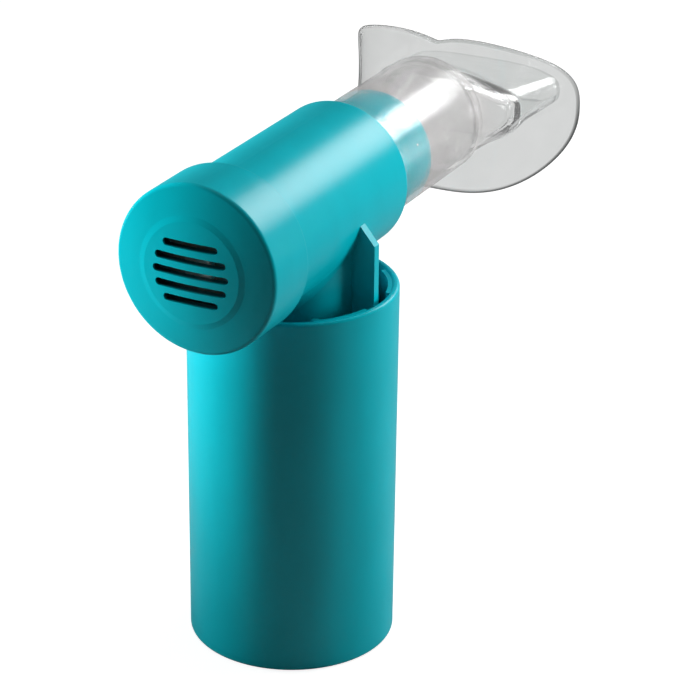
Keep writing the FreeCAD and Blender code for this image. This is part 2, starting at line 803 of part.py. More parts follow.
def adjuster_nut():
    """Nut that climbs the spindle: its four wings run in the cage's windows and keep it from turning."""
    hub = rod_up(nut_hub_radius, nut_foot, nut_top)
    flange = rod_up(nut_flange_radius, nut_top - nut_flange_thickness, nut_top)
    half = cage_slot_width / 2 - guide_gap
    arm = block(0, cage_radius, -half, half, wing_foot, wing_foot + nut_wing_height)
    arm = arm.common(rod_up(cage_radius, nut_foot, nut_top))
    shape = hub.fuse([flange] + [turned(arm, a) for a in window_directions()])
    clip = pointer_clip_width / 2 + seat_gap
    notch = block(-clip, clip, -cage_radius - 1, -cage_radius + pointer_clip_depth,
                  pointer_mid - pointer_height / 2 - seat_gap, pointer_mid + pointer_height / 2 + seat_gap)
    bore = rod_up(spindle_radius + running_gap, nut_foot - 1, nut_top + 1)
    return shape.cut([bore, notch]).removeSplitter()


def load_pointer():
    """Coloured pointer on the front wing: a curved bar with a tapered tip and a clip behind it."""
    low = pointer_mid - pointer_height / 2
    high = pointer_mid + pointer_height / 2
    bar = ring_sector(pointer_inner + pointer_thickness, pointer_inner, low, high,
                      -90 - pointer_half_deg, -90 + pointer_half_deg)
    clip_half = pointer_clip_width / 2
    clip = block(-clip_half, clip_half, -pointer_inner - pointer_thickness / 2,
                 -cage_radius + pointer_clip_depth - seat_gap, low, high)
    shape = bar.fuse(clip)
    reach = pointer_inner + pointer_thickness + 1
    tip_x = reach * math.sin(math.radians(pointer_half_deg))
    bevel = pointer_height * 0.9
    for side in (-1, 1):
        edge = low if side < 0 else high
        corner = Part.Face(Part.makePolygon([
            Vector(tip_x + 1, -reach, pointer_mid),
            Vector(tip_x - bevel, -reach, edge),
            Vector(tip_x - bevel, -reach, edge + side * 3),
            Vector(tip_x + 1, -reach, edge + side * 3),
            Vector(tip_x + 1, -reach, pointer_mid),
        ])).extrude(Vector(0, reach, 0))
        shape = shape.cut(corner)
    return shape.removeSplitter()


def tension_knob():
    """Fluted knob keyed to the spindle's flat, turned from below when the cover is off."""
    shape = turn_up([
        (0, knob_foot, 0),
        (knob_radius, knob_foot, 1.0),
        (knob_radius, knob_top, 0.5),
        (knob_radius - knob_skirt, knob_top, 0),
        (knob_radius - knob_skirt, knob_foot + knob_face, 1.0),
        (knob_hub_radius, knob_foot + knob_face, 0.6),
        (knob_hub_radius, knob_top, 0),
        (0, knob_top, 0),
    ])
    cuts = []
    flute = rod_up(knob_flute_radius, knob_foot - 1, knob_top + 1, knob_radius + knob_flute_radius * 0.45)
    for i in range(knob_flute_count):
        cuts.append(turned(flute, i * 360.0 / knob_flute_count))
    bore = rod_up(spindle_radius + seat_gap, knob_foot - 1, knob_top + 1)
    key = block(spindle_radius - 0.6 + seat_gap, spindle_radius + 1, -spindle_radius, spindle_radius,
                knob_foot - 1, knob_top + 1)
    cuts.append(bore.cut(key))
    cuts.append(rod_up(knob_recess_radius, knob_foot - 1, knob_foot + knob_recess_depth))
    return shape.cut(cuts)


def cage_screws():
    """Four pan-head screws that hold the cage to the stem's bosses."""
    shank = rod_up(screw_shank_radius - seat_gap, cage_plate_height - 0.1,
                   cage_plate_height + screw_length, boss_circle_radius)
    head = rod_up(screw_head_radius, cage_plate_height - screw_head_height, cage_plate_height,
                  boss_circle_radius)
    lower = [e for e in head.Edges if e.BoundBox.ZMax < cage_plate_height - screw_head_height / 2]
    head = head.makeFillet(screw_head_height * 0.35, lower)
    slot = block(boss_circle_radius - screw_head_radius * 0.6, boss_circle_radius + screw_head_radius * 0.6,
                 -0.35, 0.35, cage_plate_height - screw_head_height - 1,
                 cage_plate_height - screw_head_height * 0.5)
    screw = head.fuse(shank).cut(slot)
    return Part.makeCompound([turned(screw, a) for a in window_directions(between_windows)])


PIECES = [
    handle_cover, body_shell, valve_cap, exhale_seat, exhale_flap, flap_stud, mouthpiece,
    inlet_seat, seat_o_ring, inlet_seal, inlet_disc, valve_washer, valve_screw,
    spring_cage, cage_screws, upper_bush, lower_bush, spring_washer, load_spring,
    spindle, adjuster_nut, load_pointer, tension_knob, knob_washer, knob_screw,
]


def main():
    os.makedirs("parts", exist_ok=True)
    for make in PIECES:
        shape = make()
        shape.exportStep("parts/" + make.__name__ + ".step")
        print(make.__name__, "solids", len(shape.Solids), "valid", shape.isValid(),
              "volume", round(shape.Volume, 1))


main()
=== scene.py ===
"""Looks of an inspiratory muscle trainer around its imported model.

The frame gives every rigid piece, and this file gives each its finish. It also makes the silicone
mouthpiece, the rounded corner under the barrel, the load spring, the threaded spindle and the
figures of the load scale, and sets up the studio. Lengths are in metres. The origin is the centre
of the handle's base, +Z is up and +X points to the mouthpiece.
"""

import json
import math

import bpy
import numpy as np
from mathutils import Matrix, Vector


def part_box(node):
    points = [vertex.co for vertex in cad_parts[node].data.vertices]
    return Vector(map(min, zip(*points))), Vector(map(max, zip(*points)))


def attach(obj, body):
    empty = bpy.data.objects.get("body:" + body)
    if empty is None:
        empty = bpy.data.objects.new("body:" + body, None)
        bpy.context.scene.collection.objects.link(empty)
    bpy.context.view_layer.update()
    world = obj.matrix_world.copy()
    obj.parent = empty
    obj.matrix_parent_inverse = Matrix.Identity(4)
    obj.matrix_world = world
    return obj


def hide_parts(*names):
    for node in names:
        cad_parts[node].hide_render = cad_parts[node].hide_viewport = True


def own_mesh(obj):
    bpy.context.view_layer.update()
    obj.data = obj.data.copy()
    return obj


bl_info = {
    "name": "Inspiratory Muscle Trainer",
    "version": (1, 0, 0),
    "blender": (4, 5, 0),
    "location": "3D View > Sidebar > Trainer",
    "description": "Dresses the packed trainer: finishes, mouthpiece, mechanism and studio",
    "category": "Object",
}

FULL_TURN = 2 * math.pi
WHITE = (1.0, 1.0, 1.0)

# How much of the white background shows in gloss, and how much through clear silicone.
GLOSS_SHARE = 0.03
CLEAR_SHARE = 0.74

# Stem and barrel as the solids have them, and the rounded corner between them.
STEM_RADIUS = 0.0175
BARREL_RADIUS = 0.0196
CORNER_RADIUS = 0.005

# Slot of each moulded plastic: name of its colour, roughness, grains to the metre, specular level.
PLASTICS = {
    "teal_plastic": ("teal", 0.30, 2400.0, 0.28),
    "white_plastic": ("white", 0.42, 1900.0, 0.40),
    "grey_plastic": ("grey", 0.38, 2100.0, 0.45),
    "red_plastic": ("red", 0.22, 1200.0, 0.50),
    "scale_ink": ("ink", 0.45, 1500.0, 0.40),
}

# Name, place, target, width, height, power in watts, spread in degrees, shows in gloss.
LAMPS = [
    ("left_lamp", (-0.115, 0.338, 0.125), (-0.025, 0.0, 0.122), 0.12, 0.12, 0.24, 46.0, False),
    ("right_lamp", (0.235, -0.32, 0.15), (0.0, 0.0, 0.105), 0.14, 0.14, 0.22, 70.0, False),
    ("rear_lamp", (0.62, -0.22, 0.48), (0.0, 0.0, 0.12), 0.38, 0.28, 3.0, 180.0, True),
    ("top_lamp", (0.02, 0.0, 0.58), (0.0, 0.0, 0.12), 0.40, 0.40, 0.9, 180.0, False),
]

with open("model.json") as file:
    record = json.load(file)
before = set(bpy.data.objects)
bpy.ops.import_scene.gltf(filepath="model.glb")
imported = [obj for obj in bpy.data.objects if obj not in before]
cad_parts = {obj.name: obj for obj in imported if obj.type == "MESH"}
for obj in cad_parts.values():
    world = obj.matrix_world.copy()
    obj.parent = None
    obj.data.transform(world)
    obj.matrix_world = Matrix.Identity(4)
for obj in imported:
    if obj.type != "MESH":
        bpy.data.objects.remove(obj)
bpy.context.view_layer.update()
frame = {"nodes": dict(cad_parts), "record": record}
cap_low, cap_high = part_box("valve_cap")
_, cover_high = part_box("handle_cover")
_, mouth_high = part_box("mouthpiece")
spring_low, spring_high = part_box("load_spring")
spindle_low, spindle_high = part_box("spindle")
pointer_low, pointer_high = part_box("load_pointer")

AXIS_HEIGHT = (cap_low.z + cap_high.z) / 2
MOUTH_HALF_WIDTH = mouth_high.y


def length(name, description, default):
    """A property that holds one length in metres."""
    return bpy.props.FloatProperty(name=name, description=description, default=default, min=0.0,
                                   subtype="DISTANCE", unit="LENGTH", precision=5)


def rotation(name, description, degrees):
    """A property that holds one angle, given here in degrees."""
    return bpy.props.FloatProperty(name=name, description=description, precision=4,
                                   default=math.radians(degrees), subtype="ANGLE", unit="ROTATION")


def plain(name, description, default, low):
    """A property that holds a number without a unit, with its lower limit."""
    return bpy.props.FloatProperty(name=name, description=description, default=default, min=low)


def share(name, description, default):
    """A property that holds a share from 0 to 1."""
    return bpy.props.FloatProperty(name=name, description=description, default=default, min=0.0,
                                   max=1.0, subtype="FACTOR")


def colour(name, description, default):
    """A property that holds one linear colour."""
    return bpy.props.FloatVectorProperty(name=name, description=description, default=default,
                                         size=3, min=0.0, max=1.0, subtype="COLOR")


class MouthpieceSizes(bpy.types.PropertyGroup):
    """Sizes of the silicone mouthpiece that a maker would change."""

    socket_bore: length("Socket bore", "Inner radius of the socket", 0.01505)
    socket_radius: length("Socket radius", "Outer radius of the socket", 0.0164)
    collar_rise: length("Collar rise", "How far the collar stands out of the socket", 0.0006)
    collar_length: length("Collar length", "Length of the collar", 0.0068)
    socket_end: length("Socket end", "Where the socket's shoulder ends, along the barrel", 0.0765)
    shoulder_step: length("Shoulder step", "How far the neck starts inside the socket", 0.0014)
    neck_wall: length("Neck wall", "Wall of the neck and the tongue", 0.0017)
    neck_half_width: length("Neck half width", "Half width of the neck at the flange", 0.0204)
    neck_half_height: length("Neck half height", "Half height of the neck at the flange", 0.0084)
    tip_half_width: length("Tip half width", "Half width of the tongue's tip", 0.0232)
    tip_half_height: length("Tip half height", "Half height of the tongue's tip", 0.0061)
    tip_end: length("Tip", "Where the tongue ends, along the barrel", 0.1110)
    flange_place: length("Flange", "Where the flange stands, along the barrel", 0.0847)
    flange_half_width: length("Flange half width", "Half width of the flange", MOUTH_HALF_WIDTH)
    flange_half_height: length("Flange half height", "Half height of the flange", 0.0225)
    flange_sweep: length("Flange sweep", "How far its ends sweep towards the user", 0.0165)
    flange_lean: length("Flange lean", "How far its top and bottom lean back", 0.00674)
    sheet: length("Sheet", "Thickness of the flange", 0.0013)
    bead: length("Bead", "Thickness of the flange's edge", 0.0017)
    fillet: length("Fillet", "Rounding between the flange and the neck", 0.0016)
    notch_depth: length("Notch depth", "Depth of the notch in the flange's top edge", 0.0036)
    notch_width: length("Notch width", "How fast that notch runs out to its sides", 0.0070)


class MechanismSizes(bpy.types.PropertyGroup):
    """Sizes of the spring, the thread and the scale that a maker would change."""

    spring_wire: length("Spring wire", "Diameter of the spring's wire", 0.0019)
    spring_radius: length("Spring radius", "Mean radius of the spring", 0.0096)
    spring_turns: plain("Spring turns", "Turns with both closed ends", 7.5, 2.0)
    closed_length: share("Spring length at full load", "Share of its length that is left", 0.503)
    thread_lead: length("Thread lead", "Rise of the nut in one turn", 0.0044)
    thread_depth: length("Thread depth", "Depth of the thread", 0.0005)
    thread_foot: length("Thread foot", "Height where the thread starts", 0.0236)
    thread_top: length("Thread top", "Height where the thread ends", 0.0560)
    figure_height: length("Figure height", "Height of the scale's figures", 0.0026)


class Colours(bpy.types.PropertyGroup):
    """Colours of the finishes, linear."""

    teal: colour("Teal plastic", "Moulded housing", (0.0, 0.45, 0.53))
    white: colour("White plastic", "Cage, nut and valve parts", (0.74, 0.74, 0.70))
    grey: colour("Grey plastic", "Bushes and spindle", (0.30, 0.31, 0.32))
    red: colour("Red plastic", "Load pointer", (0.60, 0.02, 0.02))
    milky: colour("Milky silicone", "Valve flap and seal", (0.62, 0.60, 0.57))
    clear: colour("Clear silicone", "Flange and tongue", (0.90, 0.915, 0.91))
    frosted: colour("Frosted silicone", "Socket of the mouthpiece", (0.93, 0.90, 0.90))
    # Painted shade: a near-black colour for the flange's rim, in place of the darkness seen into
    # the sheet.
    edge: colour("Silicone edge", "Rim of the flange, seen into its depth", (0.030, 0.034, 0.034))
    black: colour("Black rubber", "O-ring", (0.02, 0.02, 0.02))
    steel: colour("Steel", "Spring, screws and washers", (0.56, 0.56, 0.55))
    ink: colour("Ink", "Figures of the scale", (0.05, 0.06, 0.07))


class StudioSettings(bpy.types.PropertyGroup):
    """Place and view of the camera, and the even light."""

    camera_place: bpy.props.FloatVectorProperty(
        name="Camera", description="Place of the camera", default=(-0.61367, -0.33425, 0.39616),
        size=3, subtype="TRANSLATION", unit="LENGTH")
    azimuth: rotation("Azimuth", "Turn of the view about the vertical", -62.622)
    elevation: rotation("Elevation", "Tilt of the view", 24.419)
    roll: rotation("Roll", "Turn of the picture", 0.672)
    lens: plain("Lens", "Focal length in millimetres", 155.08, 1.0)
    ambient: plain("Ambient", "Strength of the even light", 0.06, 0.0)


def settings(name):
    """The property group of that name."""
    return getattr(bpy.context.scene, name)


class Term:
    """A number that varies over a surface. Maths on it adds Math nodes to its finish."""

    def __init__(self, finish, socket):
        self.finish = finish
        self.socket = socket

    def maths(self, operation, first, second):
        """The result of one Math node on two numbers or terms."""
        node = self.finish.node("ShaderNodeMath", {"operation": operation}, {0: first, 1: second})
        return Term(self.finish, node.outputs[0])

    def __add__(self, other):
        return self.maths("ADD", self, other)

    def __radd__(self, other):
        return self.maths("ADD", other, self)

    def __sub__(self, other):
        return self.maths("SUBTRACT", self, other)

    def __rsub__(self, other):
        return self.maths("SUBTRACT", other, self)

    def __mul__(self, other):
        return self.maths("MULTIPLY", self, other)

    def __rmul__(self, other):
        return self.maths("MULTIPLY", other, self)

    def clipped(self):
        """The number kept between 0 and 1."""
        return self.maths("MINIMUM", self.maths("MAXIMUM", self, 0.0), 1.0)

    def step(self, low, high):
        """0 below low and 1 above high, straight between them."""
        return ((self - low) * (1.0 / (high - low))).clipped()


class Finish:
    """A material, or the studio's world, while its nodes are being made."""

    def __init__(self, name, kept_in=bpy.data.materials):
        self.owner = kept_in.new(name)
        self.owner.use_nodes = True
        self.tree = self.owner.node_tree
        self.tree.nodes.clear()
        self.place = self.node("ShaderNodeTexCoord").outputs["Object"]

    def node(self, kind, options=None, inputs=None):
        """Adds a node: its settings first, then the values or links of its sockets."""
        made = self.tree.nodes.new(kind)
        for name, value in (options or {}).items():
            setattr(made, name, value)
        for name, value in (inputs or {}).items():
            socket = made.inputs[name]
            source = value.socket if isinstance(value, Term) else value
            if isinstance(source, bpy.types.NodeSocket):
                self.tree.links.new(source, socket)
            elif socket.type == "RGBA" and len(source) == 3:
                socket.default_value = (*source, 1.0)
            else:
                socket.default_value = source
        return made

    def stretched(self, x, y, z):
        """Object coordinates with each axis multiplied."""
        return self.node("ShaderNodeMapping", {"vector_type": "POINT"},
                         {"Vector": self.place, "Scale": (x, y, z)}).outputs[0]

    def noise(self, scale, detail=3.0, roughness=0.5, at=None):
        """Cloudy pattern around 0.5, scale being its features for each metre."""
        node = self.node("ShaderNodeTexNoise", {"noise_dimensions": "3D"},
                         {"Vector": at or self.place, "Scale": scale, "Detail": detail,
                          "Roughness": roughness})
        return Term(self, node.outputs["Fac"])

    def axis(self, which):
        """One object coordinate."""
        node = self.node("ShaderNodeSeparateXYZ", None, {0: self.place})
        return Term(self, node.outputs[which])

    def attribute(self, name):
        """A number kept on the mesh's points."""
        node = self.node("ShaderNodeAttribute", {"attribute_name": name})
        return Term(self, node.outputs["Fac"])

    def blend(self, factor, first, second):
        """Colour between two colours or colour sockets."""
        node = self.node("ShaderNodeMix", {"data_type": "RGBA"}, {0: factor, 6: first, 7: second})
        return node.outputs[2]

    def bump(self, height, distance, strength):
        """Surface normal from a height pattern."""
        return self.node("ShaderNodeBump", None, {"Strength": strength, "Distance": distance,
                                                  "Height": height}).outputs[0]

    def principled(self, **inputs):
        """The main shader, inputs named with underscores for spaces."""
        named = {name.replace("_", " ").title().replace("Ior", "IOR"): value
                 for name, value in inputs.items()}
        return self.node("ShaderNodeBsdfPrincipled", None, named).outputs[0]

    def mixed(self, factor, first, second):
        """Shader between two shaders."""
        return self.node("ShaderNodeMixShader", None, {0: factor, 1: first, 2: second}).outputs[0]

    def done(self, shader, output="ShaderNodeOutputMaterial"):
        """Puts the shader on the output and gives the finished material or world."""
        self.node(output, None, {"Surface": shader})
        return self.owner


def tone(value, factor):
    """A colour made darker or lighter by a factor."""
    return tuple(min(1.0, part * factor) for part in value)


def inside_of(radius, reach_squared):
    """1 where a squared distance stays below a radius squared, and 0 beyond it."""
    soft_edge = 0.00001
    return (radius ** 2 - reach_squared).step(0.0, soft_edge)


def behind_face(finish):
    """Mask of painted shade in the cap's slots, by depth: 0 on the domed face, 1 from 0.9 mm
    behind it.

    The dome is x = lowest x + r^2 / (2 dome radius), with r the distance from the cap's axis."""
    dome_radius = 0.080
    slots_reach = 0.0115
    shade_starts, shade_full = 0.0004, 0.0009
    across = finish.axis("Y")
    up = finish.axis("Z") - AXIS_HEIGHT
    reach_squared = across * across + up * up
    depth = finish.axis("X") - (reach_squared * (0.5 / dome_radius) + cap_low.x)
    return depth.step(shade_starts, shade_full) * inside_of(slots_reach, reach_squared)


def down_the_cup(finish):
    """Mask of painted shade in the cover's bore, by depth below its rim: 0 at the rim, 1 from 12
    mm down.
    """
    bore = 0.0258
    rim_rounding = 0.0012
    shade_full = 0.012
    along, across = finish.axis("X"), finish.axis("Y")
    depth = cover_high.z - rim_rounding - finish.axis("Z")
    return depth.step(0.0, shade_full) * inside_of(bore, along * along + across * across)


def moulded_plastic(name, base, roughness, grain, specular, painted_shade):
    """Injection-moulded plastic: spark-eroded grain, soft flow clouds and uneven satin.

    The painted_shade argument, if given, is a function that says where the piece's inner walls
    lie, which are painted dark there as shade."""
    pit_depth = 0.000012
    finish = Finish(name)
    clouds = finish.noise(34.0, 2.0)
    flow = finish.noise(1.0, 3.0, at=finish.stretched(140.0, 140.0, 22.0))
    pits = finish.noise(grain, 2.0, 0.6)
    speck = finish.noise(grain * 0.23, 2.0)
    shade = (clouds * 0.6 + flow * 0.4).step(0.32, 0.68)
    base_colour = finish.blend(shade, tone(base, 0.93), tone(base, 1.05))
    # Painted shade: the inner walls get a much darker base colour in place of the shade that falls
    # in hollows.
    if painted_shade:
        base_colour = finish.blend(painted_shade(finish), base_colour, tone(base, 0.12))
    satin = roughness - 0.05 + clouds * 0.05 + speck * 0.06
    normal = finish.bump(pits * 0.8 + speck * 0.5, pit_depth, 0.55)
    shader = finish.principled(base_color=base_colour, roughness=satin, normal=normal,
                               specular_ior_level=specular)
    return finish.done(shader)


def milky_silicone(name, base):
    """Soft silicone sheet: light passes into it, with a dusty satin surface."""
    dust_depth = 0.000008
    finish = Finish(name)
    clouds = finish.noise(120.0)
    dust = finish.noise(2600.0, 2.0)
    base_colour = finish.blend(clouds.step(0.35, 0.65), tone(base, 0.92), tone(base, 1.04))
    satin = 0.36 + clouds * 0.1 + dust * 0.08
    shader = finish.principled(base_color=base_colour, roughness=satin,
                               normal=finish.bump(dust, dust_depth, 0.5),
                               subsurface_weight=0.35, subsurface_scale=0.0012,
                               specular_ior_level=0.4)
    return finish.done(shader)


def black_rubber(name, base):
    """Moulded rubber with a faint grey bloom."""
    bloom_colour = (0.06, 0.06, 0.06)
    bloom_depth = 0.00001
    finish = Finish(name)
    bloom = finish.noise(900.0)
    base_colour = finish.blend(bloom.step(0.4, 0.75), base, bloom_colour)
    shader = finish.principled(base_color=base_colour, roughness=0.55 + bloom * 0.2,
                               normal=finish.bump(bloom, bloom_depth, 0.4))
    return finish.done(shader)


def drawn_steel(name, base):
    """Drawn and turned steel: fine lines round the axis and a few darker clouds."""
    line_depth = 0.000006
    finish = Finish(name)
    lines = finish.noise(1.0, 4.0, 0.6, at=finish.stretched(900.0, 900.0, 9000.0))
    clouds = finish.noise(260.0, 2.0)
    base_colour = finish.blend((clouds * 0.7 + lines * 0.3).step(0.35, 0.7),
                               tone(base, 0.82), tone(base, 1.08))
    shader = finish.principled(base_color=base_colour, roughness=0.24 + lines * 0.16,
                               metallic=1.0, normal=finish.bump(lines, line_depth, 0.5))
    return finish.done(shader)


def clear_silicone(name, clear, frosted, edge):
    """Liquid silicone: glass-clear sheet, a frosted socket and a dark opaque edge of painted
    shade.

    The mesh keeps two numbers: frost, 1 on the socket and 0 on the flange, and rim, 1 on the
    flange's outer edge, where painted shade stands in for the look into the depth of the sheet.
    The painted shade is faint from 14 mm above the axis up, and full from 18 mm lower down."""
    faint_from, full_below = 0.014, 0.018
    faint_share = 0.12
    ripple_depth = 0.00008
    finish = Finish(name)
    frost = finish.attribute("frost")
    rim = finish.attribute("rim")
    clouds = finish.noise(150.0)
    ripple = finish.noise(420.0, 2.0)
    misty = finish.blend((clouds * 0.8 + ripple * 0.2).step(0.3, 0.7), tone(frosted, 0.9),
                         tone(frosted, 1.06))
    sheet = finish.blend(clouds.step(0.3, 0.7), tone(clear, 0.98), tone(clear, 1.02))
    satin = 0.04 + frost * (0.14 + ripple * 0.12)
    normal = finish.bump(ripple * frost + clouds * 0.3, ripple_depth, 0.4)
    clear_part = finish.principled(base_color=finish.blend(frost, sheet, misty), roughness=satin,
                                   alpha=0.95 - frost * 0.33, normal=normal,
                                   transmission_weight=1.0, ior=1.28)
    # Painted shade on the rim: an opaque dark colour, faint on the upper edge and full towards the
    # bottom.
    low_side = (AXIS_HEIGHT + faint_from - finish.axis("Z")).step(0.0, full_below)
    shaded = (rim * (faint_share + (1 - faint_share) * low_side)).clipped()
    painted_edge_shade = finish.principled(base_color=edge, roughness=0.25, specular_ior_level=0.4)
    return finish.done(finish.mixed(shaded, clear_part, painted_edge_shade))


def finish_for(slot, painted_shade=None):
    """The finish of one of the record's material slots, made the first time it is asked for."""
    name = "finish_" + slot + ("_" + painted_shade.__name__ if painted_shade else "")
    if name in bpy.data.materials:
        return bpy.data.materials[name]
    tint = settings("trainer_colours")
    if slot in PLASTICS:
        base, roughness, grain, specular = PLASTICS[slot]
        return moulded_plastic(name, getattr(tint, base), roughness, grain, specular, painted_shade)
    if slot == "milky_silicone":
        return milky_silicone(name, tint.milky)
    if slot == "clear_silicone":
        return clear_silicone(name, tint.clear, tint.frosted, tint.edge)
    if slot == "black_rubber":
        return black_rubber(name, tint.black)
    if slot == "steel":
        return drawn_steel(name, tint.steel)
    raise ValueError("no finish is named " + slot)


def dress(piece, slot, painted_shade=None):
    """Gives a piece the finish of a material slot, with painted shade where a mask is given."""
    piece.data.materials.clear()
    piece.data.materials.append(finish_for(slot, painted_shade))


def grid_faces(rows, columns, ring):
    """Quads of a grid whose columns go round, and whose rows do too if it is a ring."""
    row = np.arange(rows if ring else rows - 1)[:, None]
    column = np.arange(columns)[None, :]
    after = (column + 1) % columns
    below = (row + 1) % rows
    quads = np.stack([row * columns + column, row * columns + after,
                      below * columns + after, below * columns + column], axis=-1)
    return quads.reshape(-1, 4)


def end_fans(points):
    """Middles of the first and last rows, and the triangles that close a tube to them."""
    rows, columns = points.shape[:2]
    count = rows * columns
    start = np.arange(columns)
    after = (start + 1) % columns
    last_row = count - columns
    first = np.stack([np.full(columns, count), after, start], axis=-1)
    last = np.stack([np.full(columns, count + 1), last_row + start, last_row + after], axis=-1)
    middles = np.stack([points[0].mean(axis=0), points[-1].mean(axis=0)])
    return middles, np.concatenate([first, last])


def enclosed(points, quads):
    """Signed volume of a closed mesh of quads, six times over: positive if faces point out."""
    a, b, c, d = (points[quads[:, i]] for i in range(4))
    first = np.einsum("ij,ij->i", a, np.cross(b, c))
    second = np.einsum("ij,ij->i", a, np.cross(c, d))
    return float(first.sum() + second.sum())


def surface(name, points, ring=False, smooth=True):
    """Closed mesh from a grid of points (rows, columns, 3) whose columns go round.

    A ring's last row joins its first. Otherwise both end rows are capped by a fan to their
    middle. Faces are turned so that they point outwards."""
    flat = points.reshape(-1, 3)
    quads = grid_faces(*points.shape[:2], ring)
    order = -1 if enclosed(flat, quads) < 0 else 1
    faces = quads[:, ::order].tolist()
    if not ring:
        middles, fans = end_fans(points)
        flat = np.concatenate([flat, middles])
        faces += fans[:, ::order].tolist()
    mesh = bpy.data.meshes.new(name)
    mesh.from_pydata(flat.tolist(), [], faces)
    mesh.polygons.foreach_set("use_smooth", np.full(len(mesh.polygons), smooth))
    mesh.update()
    piece = bpy.data.objects.new(name, mesh)
    bpy.context.scene.collection.objects.link(piece)
    return piece


def keep_number(piece, name, values):
    """Keeps one number for each point of a piece's mesh."""
    layer = piece.data.attributes.new(name, "FLOAT", "POINT")
    layer.data.foreach_set("value", values.astype(np.float32))


def ease(low, high, value):
    """Smooth step of a value between two limits, 3 t^2 - 2 t^3."""
    part = np.clip((value - low) / (high - low), 0.0, 1.0)
    return part * part * (3 - 2 * part)


def arc(start_deg, end_deg, count):
    """Cosines and sines of evenly spread angles."""
    angle = np.radians(np.linspace(start_deg, end_deg, count))
    return np.cos(angle), np.sin(angle)


def rounded(x, radius, size, start_deg, end_deg, count):
    """Profile points (x, radius) on an arc of one size round a centre."""
    cosine, sine = arc(start_deg, end_deg, count)
    return [(x + size * c, radius + size * n) for c, n in zip(cosine, sine)]


def polar(radius, angle, height):
    """Points at a radius and an angle round the Z axis, at a height."""
    return np.stack([radius * np.cos(angle), radius * np.sin(angle), height + 0 * angle], axis=-1)


